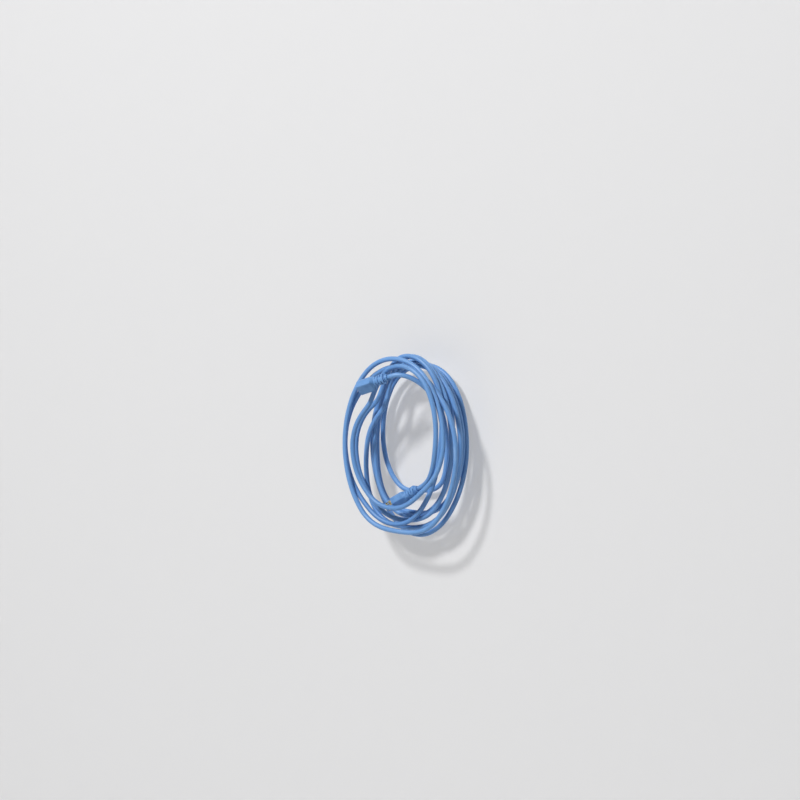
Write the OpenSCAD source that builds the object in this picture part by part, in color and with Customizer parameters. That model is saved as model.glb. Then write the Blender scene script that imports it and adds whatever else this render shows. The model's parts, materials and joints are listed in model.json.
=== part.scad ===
// Outdoor extension cord, three conductors, hung up in one loose coil.
// The moulded plug and the moulded connector are built from their inner parts outwards.
// +X runs across the coil, +Y runs back to the wall that it hangs on, +Z is up.
// The origin is under the top of the coil, where a hook or a peg carries it.

/* [Cord] */
// Outside diameter of the jacket
cord_d = 10; // [8:0.5:11]
// Diameter of one insulated conductor
wire_d = 3.2; // [2.8:0.1:3.3]
// Diameter of the copper strands of one conductor
strand_d = 2.1; // [2:0.05:2.3]

/* [Coil] */
// Width of the mean turn, between the cord's centres
coil_w = 230; // [200:5:260]
// Height of the mean turn, between the cord's centres
coil_h = 360; // [320:5:400]
// How far the shoulders of a turn stand outside a plain oval
shoulder = 0.13; // [0.05:0.01:0.15]
// Step towards the front from one turn to the next
turn_step = 11.4; // [11.4:0.1:13]
// Place of the rearmost turn behind the middle of the hook
back_y = 52; // [45:1:60]
// Place of the connector's end in front of the middle of the hook
lead_y = 60; // [58:1:66]
// How far the plug's end slips back in between the turns
tail_back = 28; // [24:1:32]

/* [Plug body] */
// Length of the plug's body behind its face
plug_l = 36; // [35:1:44]
// Width of the plug's body, across the blades
plug_w = 26; // [24:0.5:30]
// Height of the plug's body
plug_h = 24; // [23.5:0.5:30]
// Turn of the plug about its own axis
plug_roll = 180; // [150:5:210]
// Length of the pre-moulded bridge that holds the blades
bridge_l = 16; // [14:1:18]
// Thickness of the moulding over the bridge and over the carrier
skin_t = 2.4; // [2:0.1:2.6]

/* [Connector body] */
// Length of the connector's body behind its face
socket_l = 38; // [38:1:44]
// Width of the connector's body, across the slots
socket_w = 27; // [26:0.5:30]
// Height of the connector's body
socket_h = 29; // [28:0.5:32]
// Turn of the connector about its own axis
socket_roll = 45; // [20:5:70]
// Length of the contact carrier
carrier_l = 26; // [25:0.5:26.5]
// Thickness of the carrier's front wall
carrier_wall = 3; // [2:0.5:4]
// Thickness of the cover behind the contacts
cover_t = 2.5; // [2:0.1:2.7]

/* [Strain reliefs] */
// Length of the ribbed strain relief
relief_l = 30; // [27:1:33]
// Diameter of the grip at its widest rib
grip_d = 22.5; // [20:0.5:24]
// Diameter where the grip leaves the body
neck_d = 19.5; // [17:0.5:20]
// Diameter of the collar round the cord
collar_d = 15; // [14:0.5:17]
// Length of the collar
collar_l = 3.5; // [3:0.5:4]
// Rounding of the collar's end
collar_edge = 1; // [0.5:0.1:1.5]
// Rounding of the grip's shoulder in front of the collar
grip_round = 1.5; // [1:0.1:2]
// Place along the cord where the grip reaches its full width
grip_rise = 7.5; // [6.5:0.5:9]
// Place along the cord where the grip starts to narrow
grip_fall = 12; // [11:0.5:15]
// Length of the straight neck between grip and body
neck_l = 2; // [1:0.5:3]
// Place of the first slot along the cord
first_slot = 5.5; // [5:0.5:6.5]
// Distance from one slot to the next
slot_pitch = 6.4; // [6:0.1:6.8]
// Length of one slot round the grip, along the cord
slot_l = 1.8; // [1.2:0.2:2.2]
// Depth of the slots
slot_depth = 3.2; // [2:0.2:3.6]
// How far the jacket's end stays short of the grip's front
jacket_short = 7; // [7:0.5:10]

/* [Blades and contacts] */
// Thickness of a flat blade
blade_t = 1.5; // [1.4:0.05:1.65]
// Width of a flat blade
blade_w = 6.35; // [6.1:0.05:6.5]
// Length of a flat blade in front of the face
blade_l = 17.8; // [16:0.1:18.2]
// Distance between the two flat blades
blade_pitch = 12.7; // [12.5:0.1:12.9]
// Diameter of the hole near a blade's tip
blade_hole_d = 3.6; // [3:0.1:4]
// Diameter of the earth pin
pin_d = 4.78; // [4.7:0.02:4.82]
// How much the earth pin's collar in the bridge stands out round the pin
pin_collar = 0.6; // [0.4:0.1:0.8]
// Length of the earth pin in front of the face
pin_l = 20.6; // [20:0.1:21.4]
// Distance from the row of blades to the earth pin
pin_offset = 11.9; // [11.7:0.1:12.1]
// Clearance round a pin in its hole
pin_clear = 0.21; // [0.1:0.01:0.3]
// Clearance round a blade in its slot
blade_clear = 0.25; // [0.2:0.05:0.4]
// Extra width of the neutral slot
neutral_extra = 1.5; // [1:0.1:2]
// Thickness of the spring strip of a contact
leaf_t = 0.6; // [0.4:0.1:0.8]
// Length of a crimp barrel
crimp_l = 7; // [6:0.5:7.5]
// Wall of a crimp barrel
crimp_wall = 0.9; // [0.85:0.05:1.1]

/* [Hidden] */

$fn = 32;
round_fn = 48;
slack = 0.01;
past = 2;                   // how far a cut runs past what it cuts
half_turn = 180;

jacket_blue = "#5e92cf";
mould_blue = "#6a9cd6";
carrier_grey = "#3c4046";
brass = "#c9a24a";
copper = "#b8703c";

// ---------------------------------------------------------------- the coil's route

// How far the cord lies outside (+) or inside (-) the mean turn, in percent.
// One row is one turn: top, upper right, right, lower right, bottom, lower left, left, upper left.
lay = [
    [-21, -17, -43, -40, -46, -33, -17, -14],
    [-10,  -1,   5,   0,   4,  -3,   0,  -7],
    [ -6,  -4,   4, -10, -22, -14, -18, -17],
    [ -5,  -4, -12, -16, -18, -17, -20, -17],
    [-10,   2,  13,   3,  -6,   1, -11, -36],
    [  0,   0,   0,  -7, -15,  -8,   7, -26],
    [  1,   0, -17, -22, -11,   1,  24,  -2],
    [-10,  -3,  24,  13,  -3,   7,  17,   5],
    [ -1,  -1,   3, -27, -30, -22,  -8, -31],
    [-10,  -2,  -7, -37, -55]
];
lay_before = -64;          // the same measure one place before the first row
places = 8;                // places in one turn
rings_per_turn = 24;
sides = 6;
first_place = 0.08;        // where the connector's end begins, in places from the top
last_place = 75;           // where the plug's end stops
lead_end = 2.2;            // the place by which the connector's end has reached the back
lead_slope = 0.3;          // how much of that crossing is left at the connector
tail_start = 73.9;         // the place from which the plug's end leaves its turn

lay_row = [lay_before, for (row = lay) for (v = row) v];
lowest_top = 1 + lay[1][0] / 100;
coil_z = cord_d / 2 - coil_h / 2 * lowest_top;

function lay_at(i) = lay_row[max(0, min(i, len(lay_row) - 1))];

// A smooth curve through the values of the table
function spline(a, b, c, d, f) =
    b + f * ((c - a) + f * ((2 * a - 5 * b + 4 * c - d) + f * (3 * (b - c) + d - a))) / 2;

function size_at(p) =
    let (i = floor(p + 1), f = p + 1 - i)
    1 + spline(lay_at(i - 1), lay_at(i), lay_at(i + 1), lay_at(i + 2), f) / 100;

function steady_y(p) = back_y - turn_step * (p - 2) / places;

// The connector's end crosses from the front to the back under the other turns
function lead_y_at(p) =
    let (t = (lead_end - p) / (lead_end - first_place), y = steady_y(lead_end))
    y - (lead_y + y) * (t * t * (3 - 2 * t) + lead_slope * t * t * (t - 1));

function tail_at(p) = let (t = max(0, p - tail_start) / (last_place - tail_start)) t * t * (3 - 2 * t);

function depth_at(p) = (p < lead_end ? lead_y_at(p) : steady_y(p)) + tail_back * tail_at(p);

function route(p) =
    let (a = 360 * p / places, k = size_at(p))
    [coil_w / 2 * k * sin(a) * (1 + shoulder * pow(cos(a), 2)),
     depth_at(p),
     coil_z + coil_h / 2 * k * cos(a)];

function unit(v) = v / norm(v);

nudge = 0.001;
start_dir = unit(route(first_place) - route(first_place + nudge));
end_dir = unit(route(last_place) - route(last_place - nudge));
start_point = route(first_place) + cord_d * start_dir;
end_point = route(last_place) + cord_d * end_dir;

steps = round((last_place - first_place) * rings_per_turn / places);
centres = [
    start_point,
    for (i = [0 : steps]) route(first_place + (last_place - first_place) * i / steps),
    end_point
];
last = len(centres) - 1;

// The least gap of the cord to itself, measured on four points between each two rings
function between(i, f) = centres[i] * (1 - f) + centres[i + 1] * f;
apart = 3;                                            // rings along the cord that count as one stretch
near = 3 * cord_d + 2 * PI * coil_h / rings_per_turn / 2;
least_gap = min([
    for (i = [0 : last - 1]) for (j = [i + apart : 1 : last - 1])
        if (norm(centres[i] - centres[j]) < near)
            min([for (a = [0 : 0.25 : 0.75]) for (b = [0 : 0.25 : 0.75]) norm(between(i, a) - between(j, b))])
]) - cord_d;

run = [for (i = [0 : last - 1]) norm(centres[i + 1] - centres[i])];
cord_length = run * [for (r = run) 1];

// ---------------------------------------------------------------- the coil

function heading(i) = unit(centres[min(i + 1, last)] - centres[max(i - 1, 0)]);

function ring(i) =
    let (t = heading(i), u = unit(cross([0, 1, 0], t)), w = cross(t, u))
    [for (s = [0 : sides - 1]) centres[i] + cord_d / 2 * (cos(360 * s / sides) * u + sin(360 * s / sides) * w)];

module cord_jacket() {
    echo(cord_length_mm = cord_length, least_gap_mm = least_gap, turns = (last_place - first_place) / places);
    skin = [
        for (i = [0 : last - 1]) for (s = [0 : sides - 1])
            let (n = (s + 1) % sides, a = i * sides + s, b = i * sides + n)
            each [[a, b, a + sides], [b, b + sides, a + sides]]
    ];
    first_cap = [for (s = [1 : sides - 2]) [0, s + 1, s]];
    last_cap = [for (s = [1 : sides - 2]) [last * sides, last * sides + s, last * sides + s + 1]];
    color(jacket_blue)
        polyhedron(points = [for (i = [0 : last]) each ring(i)], faces = concat(skin, first_cap, last_cap));
}

// ---------------------------------------------------------------- places of the two ends

// Both ends are drawn along +X: the cord enters at x = 0 and the face is at x = relief + body.
// The blades or slots lie apart along Y, and the earth pin is on the +Z side.
module at_cord_end(p, dir, roll) {
    translate(p) rotate([roll, -asin(dir.z), atan2(dir.y, dir.x)]) children();
}
module at_plug() at_cord_end(end_point, end_dir, plug_roll) children();
module at_connector() at_cord_end(start_point, start_dir, socket_roll) children();

// A cylinder along +X
module rod(r, l, x = 0, y = 0, z = 0) {
    translate([x, y, z]) rotate([0, 90, 0]) cylinder(r = r, h = l, $fn = round_fn);
}

row_z = -pin_offset * 0.41;                // the row of blades, below the body's middle
pin_z = row_z + pin_offset;
line_y = blade_pitch / 2;
ways = [[line_y, row_z], [-line_y, row_z], [0, pin_z]];     // line, neutral, earth

// ---------------------------------------------------------------- shared mouldings

// Cross-section of a body: flat on the blades' side, narrow and round on the pin's side
module body_section(w, h, inset = 0) {
    corner = 3;
    crown = w * 0.3;
    offset(delta = -inset) hull() {
        for (side = [-1, 1]) {
            translate([side * (w / 2 - corner), -h * 0.46 + corner]) circle(corner);
            translate([side * (w / 2 - corner), h * 0.04]) circle(corner);
        }
        translate([0, h * 0.54 - crown]) circle(crown);
    }
}

jacket_in = relief_l - jacket_short;

// Turns a flat section so that it faces along X, with the section's X on the part's Y
module along_x(x, l) {
    translate([x, 0, 0]) rotate([90, 0, 90]) linear_extrude(l) children();
}

edge = 1.2;                                // rounding of the face's rim
taper_l = 5;                               // length over which the body draws in to the grip
module body_shell(w, h, l) {
    hull() {
        along_x(relief_l, slack) circle(d = neck_d);
        along_x(relief_l + taper_l, slack) body_section(w, h, edge / 2);
    }
    hull() {
        along_x(relief_l + taper_l - slack, slack) body_section(w, h, edge / 2);
        along_x(relief_l + taper_l + edge, l - taper_l - 2 * edge) body_section(w, h);
        along_x(relief_l + l - slack, slack) body_section(w, h, edge);
    }
}

module grip() {
    rotate([0, 90, 0]) rotate_extrude($fn = round_fn) polygon([
        [0, 0], [collar_d / 2 - collar_edge, 0], [collar_d / 2, collar_edge], [collar_d / 2, collar_l],
        [grip_d / 2 - grip_round, collar_l + grip_round], [grip_d / 2, grip_rise], [grip_d / 2, grip_fall],
        [neck_d / 2, relief_l - neck_l], [neck_d / 2, relief_l + slack], [0, relief_l + slack]
    ]);
}

// Slots go half way round in turn, so that the grip bends with the cord
module grip_slots() {
    slot_count = 4;
    slot_arc = 130;
    for (i = [0 : slot_count - 1]) for (half = [0, half_turn])
        translate([first_slot + i * slot_pitch, 0, 0])
            rotate([half + 90 * (i % 2) - slot_arc / 2, 0, 0]) rotate([0, 90, 0])
                rotate_extrude(angle = slot_arc, $fn = round_fn)
                    translate([grip_d / 2 - slot_depth, 0]) square([slot_depth + past, slot_l]);
}

module jacket_end() color(jacket_blue) rod(cord_d / 2, jacket_in);

// One conductor from the jacket's end to its crimp: way 0 is line, 1 neutral, 2 earth
wire_ring = cord_d / 2 - wire_d / 2 - 1;
function wire_start(way) =
    let (a = way == 0 ? -30 : way == 1 ? 210 : 90) [jacket_in, wire_ring * cos(a), wire_ring * sin(a)];
function wire_stop(way, x) = [x, ways[way][0], ways[way][1]];

module wire(way, x, grow = 0) {
    a = wire_start(way);
    b = wire_stop(way, x);
    d = b - a;
    over = 4;
    intersection() {
        translate(a - over * unit(d)) rotate([0, acos(d.z / norm(d)), atan2(d.y, d.x)])
            cylinder(r = wire_d / 2 + grow, h = norm(d) + 2 * over, $fn = round_fn);
        translate([a.x, -plug_w, -plug_h]) cube([b.x - a.x, 2 * plug_w, 2 * plug_h]);
    }
}

module strands(way, x) color(copper) rod(strand_d / 2, crimp_l, x, ways[way][0], ways[way][1]);

barrel_r = strand_d / 2 + crimp_wall;

// ---------------------------------------------------------------- plug

face_x = relief_l + plug_l;
plug_crimp_x = face_x - bridge_l - crimp_l;

module bridge_block() {
    along_x(face_x - bridge_l, bridge_l) body_section(plug_w, plug_h, skin_t);
}

module blade(way) {
    tip = 1.2;
    difference() {
        union() {
            translate([face_x - bridge_l, 0, 0]) translate([0, ways[way][0] - blade_t / 2, ways[way][1] - blade_w / 2])
                cube([bridge_l + blade_l - tip, blade_t, blade_w]);
            hull() {
                translate([face_x + blade_l - tip - slack, ways[way][0] - blade_t / 2, ways[way][1] - blade_w / 2])
                    cube([slack, blade_t, blade_w]);
                translate([face_x + blade_l - slack, ways[way][0] - blade_t / 5, ways[way][1] - blade_w / 2 + tip])
                    cube([slack, blade_t * 0.4, blade_w - 2 * tip]);
            }
            rod(barrel_r, crimp_l, plug_crimp_x, ways[way][0], ways[way][1]);
        }
        rod(strand_d / 2, crimp_l, plug_crimp_x, ways[way][0], ways[way][1]);
        translate([face_x + 0.65 * blade_l, ways[way][0] + blade_t, ways[way][1]]) rotate([90, 0, 0])
            cylinder(d = blade_hole_d, h = 2 * blade_t, $fn = round_fn);
    }
}

module earth_pin() {
    r = pin_d / 2;
    difference() {
        union() {
            rod(r + pin_collar, bridge_l, face_x - bridge_l, 0, pin_z);
            rod(r, pin_l - r, face_x, 0, pin_z);
            translate([face_x + pin_l - r, 0, pin_z]) sphere(r, $fn = round_fn);
            rod(barrel_r, crimp_l, plug_crimp_x, 0, pin_z);
        }
        rod(strand_d / 2, crimp_l, plug_crimp_x, 0, pin_z);
    }
}

module plug_overmould() color(mould_blue) at_plug() difference() {
    union() {
        body_shell(plug_w, plug_h, plug_l);
        grip();
    }
    grip_slots();
    bridge_block();
    rod(cord_d / 2, jacket_in);
    for (way = [0 : 2]) {
        wire(way, plug_crimp_x);
        rod(barrel_r, crimp_l, plug_crimp_x, ways[way][0], ways[way][1]);
    }
}

module plug_bridge() color(carrier_grey) at_plug() difference() {
    bridge_block();
    for (way = [0, 1])
        translate([face_x - bridge_l, ways[way][0] - blade_t / 2, ways[way][1] - blade_w / 2])
            cube([bridge_l, blade_t, blade_w]);
    rod(pin_d / 2 + pin_collar, bridge_l, face_x - bridge_l, 0, pin_z);
}

module plug_jacket_end() at_plug() jacket_end();
module plug_line_blade() color(brass) at_plug() blade(0);
module plug_neutral_blade() color(brass) at_plug() blade(1);
module plug_earth_pin() color(brass) at_plug() earth_pin();
module plug_black_wire() color("#202226") at_plug() wire(0, plug_crimp_x);
module plug_white_wire() color("#e8e8e4") at_plug() wire(1, plug_crimp_x);
module plug_green_wire() color("#2f8f4e") at_plug() wire(2, plug_crimp_x);
module plug_black_strands() at_plug() strands(0, plug_crimp_x);
module plug_white_strands() at_plug() strands(1, plug_crimp_x);
module plug_green_strands() at_plug() strands(2, plug_crimp_x);

// ---------------------------------------------------------------- connector

mouth_x = relief_l + socket_l;
carrier_x = mouth_x - carrier_l;
cover_x = carrier_x - cover_t;
socket_crimp_x = cover_x - crimp_l;
cavity_t = blade_t + 2 * leaf_t + 1.6;
cavity_l = carrier_l - carrier_wall;
slot_t = blade_t + 2 * blade_clear;
hole_r = pin_d / 2 + pin_clear;
sleeve_r = hole_r + leaf_t;
function slot_w(way) = blade_w + 2 * blade_clear + (way == 1 ? neutral_extra : 0);

module carrier_block(x, l) {
    along_x(x, l) body_section(socket_w, socket_h, skin_t);
}

// A box along X that is centred on a way
module way_box(way, x, l, t, w) {
    translate([x, ways[way][0] - t / 2, ways[way][1] - w / 2]) cube([l, t, w]);
}

module flat_contact(way) {
    leaf_l = cavity_l - 1;
    leaf_gap = blade_t + 0.1;
    difference() {
        union() {
            way_box(way, carrier_x, leaf_l, leaf_gap + 2 * leaf_t, blade_w);
            rod(barrel_r, cover_t + crimp_l, socket_crimp_x, ways[way][0], ways[way][1]);
        }
        way_box(way, carrier_x + leaf_t, leaf_l, leaf_gap, blade_w + past);
        rod(strand_d / 2, crimp_l, socket_crimp_x, ways[way][0], ways[way][1]);
    }
}

module earth_contact() {
    sleeve_l = cavity_l - 1;
    difference() {
        union() {
            rod(sleeve_r, sleeve_l, carrier_x, 0, pin_z);
            rod(barrel_r, cover_t + crimp_l, socket_crimp_x, 0, pin_z);
        }
        rod(hole_r, sleeve_l, carrier_x + leaf_t, 0, pin_z);
        translate([carrier_x + leaf_t, -leaf_t / 2, pin_z]) cube([sleeve_l, leaf_t, sleeve_r + 1]);
        rod(strand_d / 2, crimp_l, socket_crimp_x, 0, pin_z);
    }
}

module connector_overmould() color(mould_blue) at_connector() difference() {
    union() {
        body_shell(socket_w, socket_h, socket_l);
        grip();
    }
    grip_slots();
    carrier_block(cover_x, carrier_l + cover_t);
    rod(cord_d / 2, jacket_in);
    for (way = [0 : 2]) {
        wire(way, socket_crimp_x);
        rod(barrel_r, crimp_l, socket_crimp_x, ways[way][0], ways[way][1]);
    }
}

module connector_carrier() color(carrier_grey) at_connector() difference() {
    carrier_block(carrier_x, carrier_l);
    for (way = [0, 1]) {
        way_box(way, carrier_x, carrier_l, slot_t, slot_w(way));
        way_box(way, carrier_x, cavity_l, cavity_t, blade_w + neutral_extra + 0.6);
    }
    rod(hole_r, carrier_l, carrier_x, 0, pin_z);
    rod(sleeve_r + 0.2, cavity_l, carrier_x, 0, pin_z);
}

module connector_cover() color(carrier_grey) at_connector() difference() {
    carrier_block(cover_x, cover_t);
    for (way = [0 : 2]) rod(barrel_r, cover_t, cover_x, ways[way][0], ways[way][1]);
}

module connector_jacket_end() at_connector() jacket_end();
module connector_line_contact() color(brass) at_connector() flat_contact(0);
module connector_neutral_contact() color(brass) at_connector() flat_contact(1);
module connector_earth_contact() color(brass) at_connector() earth_contact();
module connector_black_wire() color("#202226") at_connector() wire(0, socket_crimp_x);
module connector_white_wire() color("#e8e8e4") at_connector() wire(1, socket_crimp_x);
module connector_green_wire() color("#2f8f4e") at_connector() wire(2, socket_crimp_x);
module connector_black_strands() at_connector() strands(0, socket_crimp_x);
module connector_white_strands() at_connector() strands(1, socket_crimp_x);
module connector_green_strands() at_connector() strands(2, socket_crimp_x);

// ---------------------------------------------------------------- nodes

cord_jacket();
plug_overmould();
plug_bridge();
plug_jacket_end();
plug_line_blade();
plug_neutral_blade();
plug_earth_pin();
plug_black_wire();
plug_white_wire();
plug_green_wire();
plug_black_strands();
plug_white_strands();
plug_green_strands();
connector_overmould();
connector_carrier();
connector_cover();
connector_jacket_end();
connector_line_contact();
connector_neutral_contact();
connector_earth_contact();
connector_black_wire();
connector_white_wire();
connector_green_wire();
connector_black_strands();
connector_white_strands();
connector_green_strands();
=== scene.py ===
# %% [markdown]
# # An outdoor extension cord, hung up in a loose coil
#
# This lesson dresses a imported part: eight metres of blue three-wire cord with a moulded plug on
# one end and a moulded connector on the other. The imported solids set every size. What is made
# here is what solids leave out: a jacket that is really round, soft mouldings, and finishes that
# look like vinyl, brass and copper. One unit is a metre, and the cord hangs from the origin.

# %% Set up
import json
import math

import bpy
from mathutils import Euler, Matrix, Vector

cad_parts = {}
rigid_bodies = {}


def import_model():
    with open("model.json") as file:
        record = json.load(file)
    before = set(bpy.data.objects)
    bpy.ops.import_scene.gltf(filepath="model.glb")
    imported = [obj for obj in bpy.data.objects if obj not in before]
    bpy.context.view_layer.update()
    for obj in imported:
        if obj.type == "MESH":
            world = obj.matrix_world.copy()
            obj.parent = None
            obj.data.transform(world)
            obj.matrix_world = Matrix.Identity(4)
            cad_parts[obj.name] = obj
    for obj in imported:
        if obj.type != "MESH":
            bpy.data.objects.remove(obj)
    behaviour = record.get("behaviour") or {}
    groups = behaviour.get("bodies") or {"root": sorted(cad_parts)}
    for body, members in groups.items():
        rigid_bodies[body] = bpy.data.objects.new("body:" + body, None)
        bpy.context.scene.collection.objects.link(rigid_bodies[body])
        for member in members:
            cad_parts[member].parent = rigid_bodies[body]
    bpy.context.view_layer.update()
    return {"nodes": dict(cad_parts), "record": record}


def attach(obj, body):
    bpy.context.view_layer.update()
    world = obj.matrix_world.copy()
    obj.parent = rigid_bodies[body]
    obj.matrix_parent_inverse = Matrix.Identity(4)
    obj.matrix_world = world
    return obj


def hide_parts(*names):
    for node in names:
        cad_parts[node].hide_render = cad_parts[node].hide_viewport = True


MM = 0.001

for old in list(bpy.data.objects):
    bpy.data.objects.remove(old)
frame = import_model()
bpy.ops.object.select_all(action="DESELECT")
print("packed nodes:", len(frame["nodes"]))

# %% [markdown]
# ## Where the cord runs
#
# A cord that hangs in a coil is one long curve. Each turn is close to an upright oval, a little
# larger or smaller than the last, and steps forward by just over the cord's own thickness. The
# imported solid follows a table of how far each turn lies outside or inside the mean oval, at eight
# places of the turn. The same table is used here, sampled far more finely, so that the dressed
# cord lies exactly where the solid does. A simulated cord would settle somewhere else.

# %% The table of turns, in millimetres
CORD_D = 10.0
# the mean oval, between the cord's centres, and how much wider its shoulders are
COIL_W, COIL_H, SHOULDER = 230.0, 360.0, 0.13
# a place is one of eight in a turn, counted from the top of the first turn
PLACES, FIRST_PLACE, LAST_PLACE = 8, 0.08, 75.0
# the first turn hangs this far back at this place, and each turn steps forward
BACK_Y, BACK_PLACE, TURN_STEP = 52.0, 2, 11.4
# the lead to the connector comes from in front of the coil, and the plug's tail goes back into it
LEAD_Y, LEAD_END, LEAD_SLOPE = 60.0, 2.2, 0.3
TAIL_BACK, TAIL_START = 28.0, 73.9
# top, upper right, right, lower right, bottom, lower left, left, upper left: percent of the oval
LAY_BEFORE = -64
LAY = [
    [-21, -17, -43, -40, -46, -33, -17, -14],
    [-10, -1, 5, 0, 4, -3, 0, -7],
    [-6, -4, 4, -10, -22, -14, -18, -17],
    [-5, -4, -12, -16, -18, -17, -20, -17],
    [-10, 2, 13, 3, -6, 1, -11, -36],
    [0, 0, 0, -7, -15, -8, 7, -26],
    [1, 0, -17, -22, -11, 1, 24, -2],
    [-10, -3, 24, 13, -3, 7, 17, 5],
    [-1, -1, 3, -27, -30, -22, -8, -31],
    [-10, -2, -7, -37, -55],
]
LAY_ROW = [LAY_BEFORE] + [value for row in LAY for value in row]
# the second turn hangs with its underside level with the origin
COIL_Z = CORD_D / 2 - COIL_H / 2 * (1 + LAY[1][0] / 100)
print("turns:", round((LAST_PLACE - FIRST_PLACE) / PLACES, 2))


# %% A smooth curve through the table
def lay_at(index):
    return LAY_ROW[max(0, min(index, len(LAY_ROW) - 1))]


def size_at(place):
    """A share of the mean oval, on a Catmull-Rom curve. The row starts one place early."""
    index = math.floor(place + 1)
    f = place + 1 - index
    a, b, c, d = (lay_at(index + k) for k in (-1, 0, 1, 2))
    curve = b + f * ((c - a) + f * ((2 * a - 5 * b + 4 * c - d) + f * (3 * (b - c) + d - a))) / 2
    return 1 + curve / 100


def steady_y(place):
    return BACK_Y - TURN_STEP * (place - BACK_PLACE) / PLACES


def lead_y(place):
    t = (LEAD_END - place) / (LEAD_END - FIRST_PLACE)
    y = steady_y(LEAD_END)
    return y - (LEAD_Y + y) * (t * t * (3 - 2 * t) + LEAD_SLOPE * t * t * (t - 1))


def route(place):
    """The cord's centre at a place, in metres."""
    angle = 2 * math.pi * place / PLACES
    k = size_at(place)
    t = max(0, place - TAIL_START) / (LAST_PLACE - TAIL_START)
    x = COIL_W / 2 * k * math.sin(angle) * (1 + SHOULDER * math.cos(angle) ** 2)
    y = lead_y(place) if place < LEAD_END else steady_y(place)
    y += TAIL_BACK * t * t * (3 - 2 * t)
    z = COIL_Z + COIL_H / 2 * k * math.cos(angle)
    return Vector((x, y, z)) * MM


# %% The two straight ends, and the whole centre line
NUDGE, RINGS_PER_TURN = 0.001, 128

connector_start, plug_start = route(FIRST_PLACE), route(LAST_PLACE)
connector_dir = (connector_start - route(FIRST_PLACE + NUDGE)).normalized()
plug_dir = (plug_start - route(LAST_PLACE - NUDGE)).normalized()
connector_end = connector_start + connector_dir * CORD_D * MM
plug_end = plug_start + plug_dir * CORD_D * MM

span = LAST_PLACE - FIRST_PLACE
steps = round(span * RINGS_PER_TURN / PLACES)
centre_line = [connector_end, connector_end.lerp(connector_start, 0.5)]
centre_line += [route(FIRST_PLACE + span * i / steps) for i in range(steps + 1)]
centre_line += [plug_end.lerp(plug_start, 0.5), plug_end]

# %% [markdown]
# ## Where the two ends sit
#
# A moulding is easiest to model lying along X, with the cord coming in at the origin and the face
# ahead of it. Then one matrix carries it to its place at the end of the cord. The matrix is made
# from the direction in which the cord ends and from the turn of the moulding about its own axis.

# %% A matrix for each end
PLUG_ROLL, CONNECTOR_ROLL = 180.0, 45.0


def end_matrix(place, direction, roll):
    dip = -math.asin(direction.z)
    heading = math.atan2(direction.y, direction.x)
    turn = Euler((math.radians(roll), dip, heading), "XYZ")
    return Matrix.Translation(place) @ turn.to_matrix().to_4x4()


plug_place = end_matrix(plug_end, plug_dir, PLUG_ROLL)
connector_place = end_matrix(connector_end, connector_dir, CONNECTOR_ROLL)
for end_name, point in (("plug", plug_end), ("connector", connector_end)):
    print(end_name, "at", [round(v, 4) for v in point])

# %% [markdown]
# ## The camera
#
# The cord is looked at from the right and a little above, from six metres away with a long lens,
# so that its turns look nearly parallel. The camera aims above the coil's middle and a touch to
# the left of it, which puts the coil just below the centre of the frame.

# %% Place the camera
AZIMUTH, ELEVATION, DISTANCE = math.radians(36.5), math.radians(4.8), 6.02
AIM_LEFT, AIM_UP = 0.0143, 0.0924
LENS, SEES_TO = 132.4, 60

back = Vector((
    math.sin(AZIMUTH) * math.cos(ELEVATION),
    -math.cos(AZIMUTH) * math.cos(ELEVATION),
    math.sin(ELEVATION),
))
right = Vector((math.cos(AZIMUTH), math.sin(AZIMUTH), 0))
up = back.cross(right)
coil_middle = Vector((0, 0, COIL_Z * MM))

bpy.ops.object.camera_add(location=coil_middle + back * DISTANCE)
camera = bpy.context.object
camera.name = "camera"
aim = coil_middle - right * AIM_LEFT + up * AIM_UP
camera.rotation_euler = (aim - camera.location).to_track_quat("-Z", "Y").to_euler()
camera.data.lens = LENS
camera.data.clip_end = SEES_TO
bpy.context.scene.camera = camera
print("camera stands at", [round(v, 2) for v in camera.location])

# %% [markdown]
# ## Shared effects for the finishes
#
# Vinyl, brass and insulation all need the same few things: colour that drifts a little over the
# surface, marks from handling, and a fine grain. Each effect is built once as a node group with
# named inputs, and every material sets its own values. The groups give out colours and numbers
# only, and each material keeps its own shader, so a change to one finish never disturbs another.


# %% Small helpers for node trees
def srgb(r, g, b):
    """The linear colour for three screen values from 0 to 255."""
    def one(v):
        v /= 255
        return v / 12.92 if v <= 0.04045 else ((v + 0.055) / 1.055) ** 2.4
    return (one(r), one(g), one(b), 1)


def feed(tree, socket, item):
    """Links another node's output to a socket, or sets a plain value on it."""
    if isinstance(item, bpy.types.NodeSocket):
        tree.links.new(item, socket)
    else:
        socket.default_value = item


def new_group(name, inputs, outputs):
    group = bpy.data.node_groups.new(name, "ShaderNodeTree")
    for title, kind, value in inputs:
        socket = group.interface.new_socket(title, in_out="INPUT", socket_type=kind)
        if value is not None:
            socket.default_value = value
    for title, kind in outputs:
        group.interface.new_socket(title, in_out="OUTPUT", socket_type=kind)
    given = group.nodes.new("NodeGroupInput").outputs
    result = group.nodes.new("NodeGroupOutput").inputs
    return group, given, result


# %% Helpers that add one node each
def add_noise(tree, vector, scale, detail, roughness=0.5):
    noise = tree.nodes.new("ShaderNodeTexNoise")
    noise.inputs["Detail"].default_value = detail
    noise.inputs["Roughness"].default_value = roughness
    tree.links.new(scale, noise.inputs["Scale"])
    tree.links.new(vector, noise.inputs["Vector"])
    return noise.outputs["Fac"]


def add_range(tree, value, from_low, from_high, to_low, to_high):
    node = tree.nodes.new("ShaderNodeMapRange")
    node.interpolation_type = "SMOOTHSTEP"
    titles = ("Value", "From Min", "From Max", "To Min", "To Max")
    for title, item in zip(titles, (value, from_low, from_high, to_low, to_high)):
        feed(tree, node.inputs[title], item)
    return node.outputs["Result"]


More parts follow.
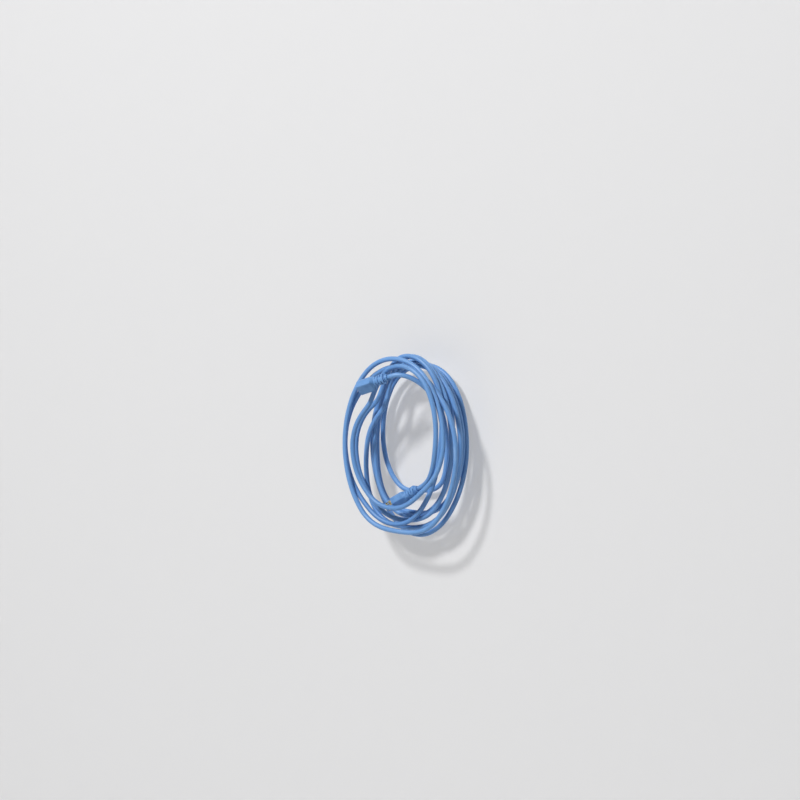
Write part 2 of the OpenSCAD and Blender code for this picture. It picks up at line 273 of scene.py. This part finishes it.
def add_math(tree, operation, first, second):
    node = tree.nodes.new("ShaderNodeMath")
    node.operation = operation
    feed(tree, node.inputs[0], first)
    feed(tree, node.inputs[1], second)
    return node.outputs[0]


# a Mix node shows other sockets for each kind of data, and these are the ones for colours
MIX_FACTOR, MIX_FIRST, MIX_SECOND, MIX_RESULT = 0, 6, 7, 2


def add_mix(tree, factor, first, second):
    node = tree.nodes.new("ShaderNodeMix")
    node.data_type = "RGBA"
    feed(tree, node.inputs[MIX_FACTOR], factor)
    feed(tree, node.inputs[MIX_FIRST], first)
    feed(tree, node.inputs[MIX_SECOND], second)
    return node.outputs[MIX_RESULT]


# %% Tone: a colour that drifts, with scuffs on it
DRIFT_LOW, DRIFT_HIGH = 0.35, 0.68
SCUFF_LOW, SCUFF_HIGH = 0.56, 0.74

tone, tone_in, tone_out = new_group(
    "Handled tone",
    [
        ("Vector", "NodeSocketVector", None),
        ("Colour", "NodeSocketColor", (0.5, 0.5, 0.5, 1)),
        ("Drift colour", "NodeSocketColor", (0.4, 0.4, 0.4, 1)),
        ("Scuff colour", "NodeSocketColor", (0.7, 0.7, 0.7, 1)),
        ("Drift scale", "NodeSocketFloat", 20.0),
        ("Scuff scale", "NodeSocketFloat", 120.0),
        ("Drift amount", "NodeSocketFloat", 0.5),
        ("Scuff amount", "NodeSocketFloat", 0.3),
    ],
    [("Colour", "NodeSocketColor"), ("Scuffs", "NodeSocketFloat")],
)
drift = add_noise(tone, tone_in["Vector"], tone_in["Drift scale"], 4)
drift = add_range(tone, drift, DRIFT_LOW, DRIFT_HIGH, 0.0, tone_in["Drift amount"])
scuff = add_noise(tone, tone_in["Vector"], tone_in["Scuff scale"], 6, 0.65)
scuff = add_range(tone, scuff, SCUFF_LOW, SCUFF_HIGH, 0.0, tone_in["Scuff amount"])
drifted = add_mix(tone, drift, tone_in["Colour"], tone_in["Drift colour"])
scuffed = add_mix(tone, scuff, drifted, tone_in["Scuff colour"])
tone.links.new(scuffed, tone_out["Colour"])
tone.links.new(scuff, tone_out["Scuffs"])
print("group:", tone.name)

# %% Grain: two sizes of fine relief, as a height
grain, grain_in, grain_out = new_group(
    "Fine grain",
    [
        ("Vector", "NodeSocketVector", None),
        ("Coarse scale", "NodeSocketFloat", 400.0),
        ("Fine scale", "NodeSocketFloat", 2600.0),
        ("Fine share", "NodeSocketFloat", 0.5),
    ],
    [("Height", "NodeSocketFloat")],
)
coarse = add_noise(grain, grain_in["Vector"], grain_in["Coarse scale"], 2)
fine = add_noise(grain, grain_in["Vector"], grain_in["Fine scale"], 2)
fine = add_math(grain, "MULTIPLY", fine, grain_in["Fine share"])
grain.links.new(add_math(grain, "ADD", coarse, fine), grain_out["Height"])
print("group:", grain.name)

# %% Start a material with both effects in it
RELIEF_HEIGHT, FULL_SCUFF = 0.0002, 0.5


def add_effect(tree, name, group, vector, values):
    """Places a shared group in a material, with the material's own values."""
    node = tree.nodes.new("ShaderNodeGroup")
    node.name = name
    node.node_tree = group
    for title, value in values.items():
        node.inputs[title].default_value = value
    tree.links.new(vector, node.inputs["Vector"])
    return node.outputs


def new_material(name, colours, roughness, bump, tone_values, grain_values, metal=0.0):
    """The colours are the plain one, the one that it drifts to, and that of the scuffs."""
    material = bpy.data.materials.new(name)
    material.use_nodes = True
    tree = material.node_tree
    shader = tree.nodes["Principled BSDF"]
    coords = tree.nodes.new("ShaderNodeTexCoord")
    mapping = tree.nodes.new("ShaderNodeMapping")
    mapping.name = "Mapping"
    mapping.vector_type = "TEXTURE"
    tree.links.new(coords.outputs["Object"], mapping.inputs["Vector"])
    vector = mapping.outputs["Vector"]

    colour_values = dict(zip(("Colour", "Drift colour", "Scuff colour"), colours))
    tones = add_effect(tree, "Tones", tone, vector, colour_values | tone_values)
    tree.links.new(tones["Colour"], shader.inputs["Base Color"])
    rough = add_range(tree, tones["Scuffs"], 0.0, FULL_SCUFF, *roughness)
    tree.links.new(rough, shader.inputs["Roughness"])
    shader.inputs["Metallic"].default_value = metal

    grains = add_effect(tree, "Grains", grain, vector, grain_values)
    relief = tree.nodes.new("ShaderNodeBump")
    relief.name = "Relief"
    relief.inputs["Strength"].default_value = bump
    relief.inputs["Distance"].default_value = RELIEF_HEIGHT
    tree.links.new(grains["Height"], relief.inputs["Height"])
    tree.links.new(relief.outputs["Normal"], shader.inputs["Normal"])
    return material


def read_along(material, matrix, stretch=1.0):
    """Makes a material's pattern follow a moulding that lies along its own axis."""
    place, turn, _ = matrix.decompose()
    mapping = material.node_tree.nodes["Mapping"]
    mapping.inputs["Location"].default_value = place
    mapping.inputs["Rotation"].default_value = turn.to_euler()
    mapping.inputs["Scale"].default_value = (stretch, 1.0, 1.0)


def paint(piece, material):
    piece.data.materials.clear()
    piece.data.materials.append(material)


# %% [markdown]
# ## The jacket's finish
#
# The jacket is blue vinyl, extruded hot over the twisted conductors. It is satin, not shiny, and
# it picks up faint lengthwise streaks from the die and pale scuffs from being dragged about. A
# pattern in object space would cut straight through the turns, so this one reads the cord's own
# UV map, in which U runs along the cord and V round it, both in metres.

# %% Blue vinyl for the jacket
BLUES = srgb(104, 151, 206), srgb(92, 139, 195), srgb(140, 176, 216)
JACKET_STREAK = 6.0

jacket_vinyl = new_material(
    "jacket vinyl", BLUES,
    roughness=(0.42, 0.66), bump=0.5,
    tone_values={
        "Drift scale": 9.0, "Scuff scale": 60.0, "Drift amount": 1.0, "Scuff amount": 0.6,
    },
    grain_values={"Coarse scale": 300.0, "Fine scale": 1500.0, "Fine share": 0.6},
)
jacket_tree = jacket_vinyl.node_tree
uv = jacket_tree.nodes.new("ShaderNodeUVMap")
uv.uv_map = "along"
jacket_mapping = jacket_tree.nodes["Mapping"]
jacket_tree.links.new(uv.outputs["UV"], jacket_mapping.inputs["Vector"])
jacket_mapping.inputs["Scale"].default_value = (JACKET_STREAK, 1.0, 1.0)
jacket_tree.nodes["Principled BSDF"].inputs["Specular IOR Level"].default_value = 0.45
print("material:", jacket_vinyl.name)

# %% [markdown]
# ## The cord
#
# A round tube is swept along the centre line. Each ring needs a steady sense of which way is up,
# or the tube would twist: here every ring is set out from the wall's direction, which the cord
# never points along. Three conductors lie twisted inside the jacket and show through it as a very
# faint spiral, so the radius swells by about a tenth of a millimetre where each one passes.

# %% Sweep the tube, in metres
CORD_SIDES = 20
CONDUCTORS, SWELL, TWIST_L = 3, 0.00006, 0.12
TO_WALL = Vector((0, 1, 0))


def sweep(points, radius, sides):
    """The corners and faces of a closed tube, and a UV place for each face's corners."""
    rings, lengths, travelled = [], [], 0.0
    for i, point in enumerate(points):
        ahead = points[min(i + 1, len(points) - 1)]
        behind = points[max(i - 1, 0)]
        heading = (ahead - behind).normalized()
        if i:
            travelled += (point - behind).length
        lengths.append(travelled)
        out = TO_WALL.cross(heading).normalized()
        across = heading.cross(out)
        for s in range(sides):
            angle = 2 * math.pi * s / sides
            spiral = CONDUCTORS * (angle + 2 * math.pi * travelled / TWIST_L)
            r = radius + SWELL * math.cos(spiral)
            rings.append(point + r * (math.cos(angle) * out + math.sin(angle) * across))

    faces, uvs, girth = [], [], 2 * math.pi * radius
    for i, (near, far) in enumerate(zip(lengths, lengths[1:])):
        for s in range(sides):
            n = (s + 1) % sides
            this_ring, next_ring = i * sides, (i + 1) * sides
            faces.append((this_ring + s, this_ring + n, next_ring + n, next_ring + s))
            v0, v1 = s / sides * girth, (s + 1) / sides * girth
            uvs += [(near, v0), (near, v1), (far, v1), (far, v0)]
    last = (len(points) - 1) * sides
    faces.append(tuple(reversed(range(sides))))
    faces.append(tuple(last + s for s in range(sides)))
    uvs += [(0, 0)] * (2 * sides)
    return rings, faces, uvs


def tube_object(name, points, radius, sides):
    rings, faces, uvs = sweep(points, radius, sides)
    mesh = bpy.data.meshes.new(name)
    mesh.from_pydata(rings, [], faces)
    layer = mesh.uv_layers.new(name="along")
    for loop, uv_point in zip(layer.data, uvs):
        loop.uv = uv_point
    mesh.shade_smooth()
    piece = bpy.data.objects.new(name, mesh)
    bpy.context.collection.objects.link(piece)
    return piece


cord = tube_object("cord", centre_line, CORD_D / 2 * MM, CORD_SIDES)
paint(cord, jacket_vinyl)
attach(cord, "root")
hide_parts("cord_jacket")
print("cord faces:", len(cord.data.polygons))

# %% [markdown]
# ## The two mouldings
#
# The plug and the connector are vinyl, shot round the finished wiring in a steel mould. Each is
# one skin: a body that is flat on the side of the blades and narrow on the side of the earth pin,
# then a ribbed grip that bends with the cord, then a collar. A body is easiest to make as the real
# mould is drawn, as a hull round circles: four at the corners and a wide one for the crown,
# repeated along the length. Millimetres are used while modelling, and the placing matrix turns
# them to metres.

# %% Sizes of the mouldings, in millimetres
PLUG_L, PLUG_W, PLUG_H, BRIDGE_L = 36.0, 26.0, 24.0, 16.0
SOCKET_L, SOCKET_W, SOCKET_H, CARRIER_L, COVER_T = 38.0, 27.0, 29.0, 26.0, 2.5
SKIN_T, RIM, TAPER_L, CORNER = 2.4, 1.2, 5.0, 3.0
# how low and how high the corners lie, and the crown's top, as shares of the body's height
LOW, SIDE, TOP = 0.46, 0.04, 0.54
# the crown's radius, as a share of the body's width
CROWN = 0.3
RELIEF_L, COLLAR_D, GRIP_D, NECK_D = 30.0, 15.0, 22.5, 19.5
FIRST_SLOT, SLOT_STEP, SLOT_PAIRS = 5.5, 6.4, 4
SLOT_L, SLOT_DEPTH, SLOT_ARC = 1.8, 3.2, 130.0
# how far a cutter reaches past what it cuts, and how much it is grown all round
PAST, FIT = 2, 0.1
print("plug", RELIEF_L + PLUG_L, "mm and connector", RELIEF_L + SOCKET_L, "mm long")


# %% Small helpers for modelling
def take(piece):
    bpy.ops.object.select_all(action="DESELECT")
    piece.select_set(True)
    bpy.context.view_layer.objects.active = piece


def finish_with(piece, kind, **settings):
    take(piece)
    modifier = piece.modifiers.new(kind.lower(), kind)
    for title, value in settings.items():
        setattr(modifier, title, value)
    bpy.ops.object.modifier_apply(modifier=modifier.name)


def join_pieces(name, pieces):
    take(pieces[0])
    for piece in pieces[1:]:
        piece.select_set(True)
    bpy.ops.object.join()
    bpy.context.object.name = name
    return bpy.context.object


def combine(piece, operation, other):
    finish_with(piece, "BOOLEAN", operation=operation, solver="EXACT", object=other)
    bpy.data.objects.remove(other)


def turn_faces_out():
    """Ends an edit with every face pointing outwards."""
    bpy.ops.mesh.select_all(action="SELECT")
    bpy.ops.mesh.normals_make_consistent(inside=False)
    bpy.ops.object.mode_set(mode="OBJECT")


# %% A hull round circles that stand across the length
QUARTER_TURN, HALF_TURN = 90, 180
FACING_X = (0, math.radians(QUARTER_TURN), 0)
FACING_Y = (math.radians(QUARTER_TURN), 0, 0)
CIRCLE_SIDES, GRIP_SIDES, SLOT_SIDES, ROLL_STEPS = 40, 96, 26, 4


def hull_of_circles(name, circles):
    """Each circle is x, y, z and a radius, in millimetres."""
    rings = []
    for x, y, z, radius in circles:
        bpy.ops.mesh.primitive_circle_add(
            vertices=CIRCLE_SIDES, radius=radius, location=(x, y, z), rotation=FACING_X)
        rings.append(bpy.context.object)
    hull = join_pieces(name, rings)
    bpy.ops.object.transform_apply(location=True, rotation=True, scale=True)
    bpy.ops.object.mode_set(mode="EDIT")
    bpy.ops.mesh.select_all(action="SELECT")
    bpy.ops.mesh.convex_hull()
    turn_faces_out()
    return hull


def body_circles(x, width, height, inset=0.0):
    crown = width * CROWN
    corners = [(x, side * (width / 2 - CORNER), z, CORNER - inset)
               for side in (-1, 1) for z in (CORNER - height * LOW, height * SIDE)]
    return corners + [(x, 0, height * TOP - crown, crown - inset)]


# %% The body of a moulding, with a rolled rim round its face
def moulded_body(name, width, height, length):
    circles = [(RELIEF_L, 0, 0, NECK_D / 2)]
    circles += body_circles(RELIEF_L + TAPER_L, width, height, RIM / 2)
    circles += body_circles(RELIEF_L + TAPER_L + RIM, width, height)
    for step in range(ROLL_STEPS + 1):
        lean = math.radians(QUARTER_TURN * step / ROLL_STEPS)
        x = RELIEF_L + length - RIM + RIM * math.sin(lean)
        circles += body_circles(x, width, height, RIM * (1 - math.cos(lean)))
    return hull_of_circles(name, circles)


# %% [markdown]
# The grip is turned: a disc is extruded along X in stages, and each stage is scaled to its own
# width. The slots are then cut in pairs, each pair at right angles to the last, which is what
# lets a stiff moulding bend evenly instead of kinking at the collar.

# %% The turned grip and its slots
# how far along each stage ends, and its radius
GRIP_STAGES = [
    (0, COLLAR_D / 2 - 1),
    (1, COLLAR_D / 2),
    (3.5, COLLAR_D / 2),
    (5, GRIP_D / 2 - 1.5),
    (7.5, GRIP_D / 2),
    (12, GRIP_D / 2),
    (RELIEF_L - 2, NECK_D / 2),
    (RELIEF_L + 2, NECK_D / 2),
]


def turned_grip(name):
    bpy.ops.mesh.primitive_circle_add(
        vertices=GRIP_SIDES, radius=GRIP_STAGES[0][1], fill_type="NGON", rotation=FACING_X)
    grip = bpy.context.object
    grip.name = name
    bpy.ops.object.transform_apply(rotation=True)
    bpy.ops.object.mode_set(mode="EDIT")
    for (x0, r0), (x1, r1) in zip(GRIP_STAGES, GRIP_STAGES[1:]):
        bpy.ops.mesh.extrude_region_move(TRANSFORM_OT_translate={"value": (x1 - x0, 0, 0)})
        bpy.ops.transform.resize(value=(1, r1 / r0, r1 / r0), center_override=(x1, 0, 0))
    turn_faces_out()
    return grip


def slot_cutter(x, turn):
    """Part of a ring, from the slot's floor to past the grip, turned about the length."""
    floor_r, outer_r = GRIP_D / 2 - SLOT_DEPTH, GRIP_D / 2 + PAST
    bpy.ops.mesh.primitive_plane_add(size=1, rotation=FACING_Y)
    cutter = bpy.context.object
    cutter.scale = (SLOT_L, outer_r - floor_r, 1)
    cutter.location = (x + SLOT_L / 2, 0, (floor_r + outer_r) / 2)
    bpy.ops.object.transform_apply(location=True, rotation=True, scale=True)
    bpy.ops.object.mode_set(mode="EDIT")
    bpy.ops.mesh.select_all(action="SELECT")
    bpy.ops.mesh.spin(
        steps=SLOT_SIDES, angle=math.radians(SLOT_ARC), center=(0, 0, 0), axis=(1, 0, 0))
    turn_faces_out()
    cutter.rotation_euler = (math.radians(turn - SLOT_ARC / 2), 0, 0)
    bpy.ops.object.transform_apply(rotation=True)
    return cutter


# %% [markdown]
# The vinyl fills everything that the wiring leaves free, so the moulding is hollowed by what it
# was shot round: the block that holds the contacts, the end of the jacket, the three conductors
# and their crimps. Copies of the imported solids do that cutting, each grown by a hair. A voxel
# remesh then melts body, grip and slots into one skin with the small soft radii of moulded vinyl.

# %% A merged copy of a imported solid
MERGE, NEARLY_FLAT = 0.000002, math.radians(1)


def merged_copy(name, node, clean=True):
    copy = bpy.data.objects.new(name, bpy.data.objects[node].data.copy())
    bpy.context.collection.objects.link(copy)
    take(copy)
    bpy.ops.object.mode_set(mode="EDIT")
    bpy.ops.mesh.select_all(action="SELECT")
    bpy.ops.mesh.remove_doubles(threshold=MERGE)
    if clean:
        bpy.ops.mesh.dissolve_limited(angle_limit=NEARLY_FLAT)
    bpy.ops.object.mode_set(mode="OBJECT")
    return copy


def grown_copy(node, place):
    cutter = merged_copy("cutter", node, clean=False)
    cutter.data.transform(place.inverted())
    finish_with(cutter, "DISPLACE", strength=FIT, mid_level=0)
    return cutter


# %% Melt the parts of a moulding into one skin
VOXEL = 0.4


def moulding(name, width, height, length, block_l, place, inner_nodes):
    """The placing matrix takes millimetres along the moulding to metres in the world."""
    skin = moulded_body(name, width, height, length)
    combine(skin, "UNION", turned_grip("grip"))
    for index in range(SLOT_PAIRS):
        for half in (0, HALF_TURN):
            turn = half + QUARTER_TURN * (index % 2)
            combine(skin, "DIFFERENCE", slot_cutter(FIRST_SLOT + index * SLOT_STEP, turn))
    face = RELIEF_L + length
    pocket = body_circles(face - block_l - FIT, width, height, SKIN_T - FIT)
    pocket += body_circles(face + PAST, width, height, SKIN_T - FIT)
    combine(skin, "DIFFERENCE", hull_of_circles("pocket", pocket))
    for node in inner_nodes:
        combine(skin, "DIFFERENCE", grown_copy(node, place))
    finish_with(skin, "REMESH", mode="VOXEL", voxel_size=VOXEL, use_smooth_shade=True)
    finish_with(skin, "SMOOTH", factor=0.5, iterations=3)
    skin.data.transform(place)
    return skin


# %% Mould the plug and the connector
WIRES = ["black_wire", "white_wire", "green_wire"]
PLUG_INSIDE = ["jacket_end", "line_blade", "neutral_blade", "earth_pin"]
CONNECTOR_INSIDE = ["jacket_end", "line_contact", "neutral_contact", "earth_contact"]

plug_moulding = moulding(
    "plug_moulding", PLUG_W, PLUG_H, PLUG_L, BRIDGE_L,
    plug_place @ Matrix.Scale(MM, 4),
    ["plug_" + n for n in PLUG_INSIDE + WIRES])
connector_moulding = moulding(
    "connector_moulding", SOCKET_W, SOCKET_H, SOCKET_L, CARRIER_L + COVER_T,
    connector_place @ Matrix.Scale(MM, 4),
    ["connector_" + n for n in CONNECTOR_INSIDE + WIRES])
for piece, node in (
        (plug_moulding, "plug_overmould"), (connector_moulding, "connector_overmould")):
    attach(piece, "root")
    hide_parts(node)
    print(piece.name, "faces:", len(piece.data.polygons))
    print(piece.name, "box:", [round(v, 4) for v in piece.dimensions])

# %% [markdown]
# ## Finishes for the two ends
#
# The mouldings are the same blue vinyl as the jacket, but a mould gives another skin than a die:
# a fine even spark texture, and a thin parting line where the two halves of the mould met. Edges
# and ribs are rubbed paler than the rest, and the slots are darkened with painted shade. Patterns
# here read object space, turned by a Mapping node so that they lie along the moulding.

# %% The parting line, as a height
seam, seam_in, seam_out = new_group(
    "Parting line",
    [("Vector", "NodeSocketVector", None), ("Half width", "NodeSocketFloat", 0.0003)],
    [("Height", "NodeSocketFloat")],
)
axes = seam.nodes.new("ShaderNodeSeparateXYZ")
seam.links.new(seam_in["Vector"], axes.inputs[0])
from_line = add_math(seam, "ABSOLUTE", axes.outputs["Z"], 0.0)
ridge = add_range(seam, from_line, 0.0, seam_in["Half width"], 1.0, 0.0)
seam.links.new(ridge, seam_out["Height"])
print("group:", seam.name)

# %% Moulded vinyl
RUBBED, RUBBED_AMOUNT = srgb(150, 182, 220), 0.45
# painted shade: the slots are darkened towards this dark blue, for the shade that falls in them
PAINTED_SHADE, PAINTED_SHADE_AMOUNT = srgb(48, 64, 92), 0.8
# Pointiness is a half on a flat face, less in a slot and more on an edge
EDGE_FROM, EDGE_TO = 0.52, 0.60
SLOT_FROM, SLOT_TO = 0.41, 0.485


def moulded_vinyl(name, place):
    material = new_material(
        name, BLUES,
        roughness=(0.46, 0.66), bump=0.6,
        tone_values={
            "Drift scale": 70.0, "Scuff scale": 380.0, "Drift amount": 1.0, "Scuff amount": 0.6,
        },
        grain_values={"Coarse scale": 900.0, "Fine scale": 3200.0, "Fine share": 0.9},
    )
    read_along(material, place)
    tree = material.node_tree
    nodes = tree.nodes
    line = add_effect(tree, "Line", seam, nodes["Mapping"].outputs["Vector"], {})
    height = add_math(tree, "ADD", nodes["Grains"].outputs["Height"], line["Height"])
    tree.links.new(height, nodes["Relief"].inputs["Height"])
    bend = nodes.new("ShaderNodeNewGeometry").outputs["Pointiness"]
    on_edges = add_range(tree, bend, EDGE_FROM, EDGE_TO, 0.0, RUBBED_AMOUNT)
    # painted shade, strongest deep in the slots
    painted_slot_shade = add_range(tree, bend, SLOT_FROM, SLOT_TO, PAINTED_SHADE_AMOUNT, 0.0)
    worn = add_mix(tree, on_edges, nodes["Tones"].outputs["Colour"], RUBBED)
    shader = nodes["Principled BSDF"]
    tree.links.new(add_mix(tree, painted_slot_shade, worn, PAINTED_SHADE), shader.inputs["Base Color"])
    shader.inputs["Specular IOR Level"].default_value = 0.4
    return material


paint(plug_moulding, moulded_vinyl("plug vinyl", plug_place))
paint(connector_moulding, moulded_vinyl("connector vinyl", connector_place))
print("painted:", plug_moulding.name, connector_moulding.name)

# %% [markdown]
# The blades are stamped from brass strip and the pin is turned, so both carry fine lines along
# their length. Stretching the pattern along X draws those lines. The blocks that hold them are a
# hard charcoal plastic with a matt, faintly mottled skin.

# %% Brass, copper and the plastics
METAL_STREAK, PLASTIC_WEAR = 9.0, 0.16


def end_metal(name, colour, dull, place):
    material = new_material(
        name, (colour, dull, dull),
        roughness=(0.24, 0.46), bump=0.3,
        tone_values={
            "Drift scale": 90.0, "Scuff scale": 500.0, "Drift amount": 0.6, "Scuff amount": 0.5,
        },
        grain_values={"Coarse scale": 1200.0, "Fine scale": 5000.0, "Fine share": 0.6},
        metal=1.0,
    )
    read_along(material, place, METAL_STREAK)
    return material


def end_plastic(name, colours, gloss, place):
    material = new_material(
        name, colours,
        roughness=(gloss, gloss + PLASTIC_WEAR), bump=0.25,
        tone_values={
            "Drift scale": 110.0, "Scuff scale": 600.0, "Drift amount": 0.7, "Scuff amount": 0.3,
        },
        grain_values={"Coarse scale": 1400.0, "Fine scale": 5200.0, "Fine share": 0.6},
    )
    read_along(material, place)
    return material


# %% One finish for each of the record's slots, at each end
CHARCOALS = srgb(60, 63, 68), srgb(50, 53, 58), srgb(92, 95, 99)
BLACKS = srgb(34, 35, 38), srgb(26, 27, 30), srgb(60, 61, 64)
WHITES = srgb(226, 226, 220), srgb(212, 211, 204), srgb(238, 238, 235)
GREENS = srgb(48, 140, 78), srgb(38, 122, 66), srgb(92, 165, 112)
PLASTICS = {
    "jacket_blue": ("jacket end", BLUES, 0.46),
    "inner_plastic": ("block plastic", CHARCOALS, 0.52),
    "black_insulation": ("black insulation", BLACKS, 0.42),
    "white_insulation": ("white insulation", WHITES, 0.42),
    "green_insulation": ("green insulation", GREENS, 0.42),
}
METALS = {
    "brass": (srgb(240, 206, 140), srgb(212, 172, 102)),
    "copper": (srgb(206, 132, 92), srgb(166, 96, 64)),
}


def end_finishes(end, place):
    """The finishes of one end, by the slot of the record that each belongs to."""
    plastics = {
        slot: end_plastic(end + " " + name, colours, gloss, place)
        for slot, (name, colours, gloss) in PLASTICS.items()
    }
    metals = {
        slot: end_metal(end + " " + slot, colour, dull, place)
        for slot, (colour, dull) in METALS.items()
    }
    return plastics | metals


finishes = {
    "plug": end_finishes("plug", plug_place),
    "connector": end_finishes("connector", connector_place),
}
print("finishes:", sum(len(found) for found in finishes.values()))

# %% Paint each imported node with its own
slot_of = {part["node"]: part["material_slot"] for part in frame["record"]["subparts"]}


def finish_of(node):
    """None for the jacket and the mouldings, which have their own pieces."""
    return finishes.get(node.split("_")[0], {}).get(slot_of[node])


painted = [node for node in slot_of if finish_of(node)]
for node in painted:
    paint(bpy.data.objects[node], finish_of(node))
print("nodes with a finish:", len(painted))

# %% [markdown]
# ## Blades, pin and blocks
#
# These solids already have the right shape, but every edge on them is a knife edge. A merged copy
# with a bevel of a fraction of a millimetre catches the light as stamped brass and moulded
# plastic do, and opens a hairline where one piece seats in another.

# %% Bevelled copies
BEVEL_STEPS, BEVEL_OVER, SMOOTH_UNDER = 3, math.radians(35), math.radians(40)


def bevelled_copy(name, node, width):
    """The bevel's width is in millimetres."""
    piece = merged_copy(name, node)
    finish_with(piece, "BEVEL", width=width * MM, segments=BEVEL_STEPS,
                limit_method="ANGLE", angle_limit=BEVEL_OVER)
    take(piece)
    bpy.ops.object.shade_smooth_by_angle(angle=SMOOTH_UNDER)
    paint(piece, finish_of(node))
    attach(piece, "root")
    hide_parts(node)
    print(piece.name, "faces:", len(piece.data.polygons))
    return piece


line_blade = bevelled_copy("line_blade", "plug_line_blade", 0.2)
neutral_blade = bevelled_copy("neutral_blade", "plug_neutral_blade", 0.2)
earth_pin = bevelled_copy("earth_pin", "plug_earth_pin", 0.15)
plug_block = bevelled_copy("plug_block", "plug_bridge", 0.2)
bevelled_copy("contact_block", "connector_carrier", 0.25)

# %% [markdown]
# ## Stage and light
#
# The cord hangs just in front of a plain pale wall, above a pale floor. The wall lets light and
# sight through from behind, so that the back of the coil can be looked at too. To the eye both
# glow a little by themselves, which keeps shadows pale, as outdoors under an open sky. One large
# soft lamp, above and to the left of the camera, makes the shading.

# %% What a pale surface is made of
STAGE_ROUGHNESS, STAGE_SPECULAR = 0.9, 0.1


def add_seen(tree):
    """One for rays that the eye follows, straight or by a mirror, and nought for the rest."""
    rays = tree.nodes.new("ShaderNodeLightPath").outputs
    direct = add_math(tree, "MAXIMUM", rays["Is Camera Ray"], rays["Is Glossy Ray"])
    return add_math(tree, "MAXIMUM", direct, rays["Is Transmission Ray"])


def blend_shaders(tree, factor, first, second):
    node = tree.nodes.new("ShaderNodeMixShader")
    for socket, item in zip(node.inputs, (factor, first.outputs[0], second.outputs[0])):
        tree.links.new(item, socket)
    return node


def stage_material(name, colour, lift, see_through):
    material = bpy.data.materials.new(name)
    material.use_nodes = True
    tree = material.node_tree
    shader = tree.nodes["Principled BSDF"]
    shader.inputs["Base Color"].default_value = colour
    shader.inputs["Roughness"].default_value = STAGE_ROUGHNESS
    shader.inputs["Specular IOR Level"].default_value = STAGE_SPECULAR
    glow = tree.nodes.new("ShaderNodeEmission")
    glow.inputs["Color"].default_value = colour
    lifted = add_math(tree, "MULTIPLY", add_seen(tree), lift)
    surface = blend_shaders(tree, lifted, shader, glow)
    if see_through:
        back_side = tree.nodes.new("ShaderNodeNewGeometry").outputs["Backfacing"]
        shadow_ray = tree.nodes.new("ShaderNodeLightPath").outputs["Is Shadow Ray"]
        clear = tree.nodes.new("ShaderNodeBsdfTransparent")
        passing = add_math(tree, "MAXIMUM", back_side, shadow_ray)
        surface = blend_shaders(tree, passing, surface, clear)
    tree.links.new(surface.outputs[0], tree.nodes["Material Output"].inputs["Surface"])
    return material


# %% Pale wall and floor
WALL_SIZE, WALL_PLACE, WALL_LIFT = 8, (0, 0.066, 1.0), 0.45
FLOOR_SIZE, FLOOR_PLACE, FLOOR_LIFT = 14, (0, 0, -1.25), 0.75

bpy.ops.mesh.primitive_plane_add(size=WALL_SIZE, location=WALL_PLACE, rotation=FACING_Y)
wall = bpy.context.object
wall.name = "wall"
paint(wall, stage_material("pale wall", srgb(223, 223, 224), WALL_LIFT, see_through=True))
bpy.ops.mesh.primitive_plane_add(size=FLOOR_SIZE, location=FLOOR_PLACE)
floor = bpy.context.object
floor.name = "floor"
paint(floor, stage_material("pale floor", srgb(214, 213, 211), FLOOR_LIFT, see_through=False))
print("stage:", wall.name, floor.name)

# %% Lamps and sky
LAMPS = {  # place and width in metres, then power in watts
    "key lamp": ((-0.8, -5.2, 4.2), 1.0, 440),
    "fill lamp": ((2.6, -3.4, 0.6), 2.0, 5),
    "rear lamp": ((0.8, 2.4, 1.6), 1.6, 26),
}
SKY_LIGHTS, SKY_SHOWS = 0.07, 0.82

for name, (place, width, power) in LAMPS.items():
    bpy.ops.object.light_add(type="AREA", location=place)
    lamp = bpy.context.object
    lamp.name = name
    lamp.data.shape = "DISK"
    lamp.data.size = width
    lamp.data.energy = power
    lamp.rotation_euler = (coil_middle - Vector(place)).to_track_quat("-Z", "Y").to_euler()

world = bpy.data.worlds.new("sky")
bpy.context.scene.world = world
world.use_nodes = True
sky_tree = world.node_tree
sky = sky_tree.nodes["Background"]
sky.inputs["Color"].default_value = (1, 1, 1, 1)
sky_strength = add_range(sky_tree, add_seen(sky_tree), 0.0, 1.0, SKY_LIGHTS, SKY_SHOWS)
sky_tree.links.new(sky_strength, sky.inputs["Strength"])
bpy.context.scene.view_settings.view_transform = "Standard"
print("lamps:", list(LAMPS))

# %% [markdown]
# ## The pieces at the plug end
#
# A cord can be laid out again in another way, and the plug's pieces are listed, because they go
# wherever the cord's far end goes.

plug_pieces = [plug_moulding, line_blade, neutral_blade, earth_pin, plug_block]
plug_pieces += [
    item for node, item in frame["nodes"].items()
    if node.startswith("plug_") and not item.hide_render
]
print("pieces that go with the cord:", len(plug_pieces))
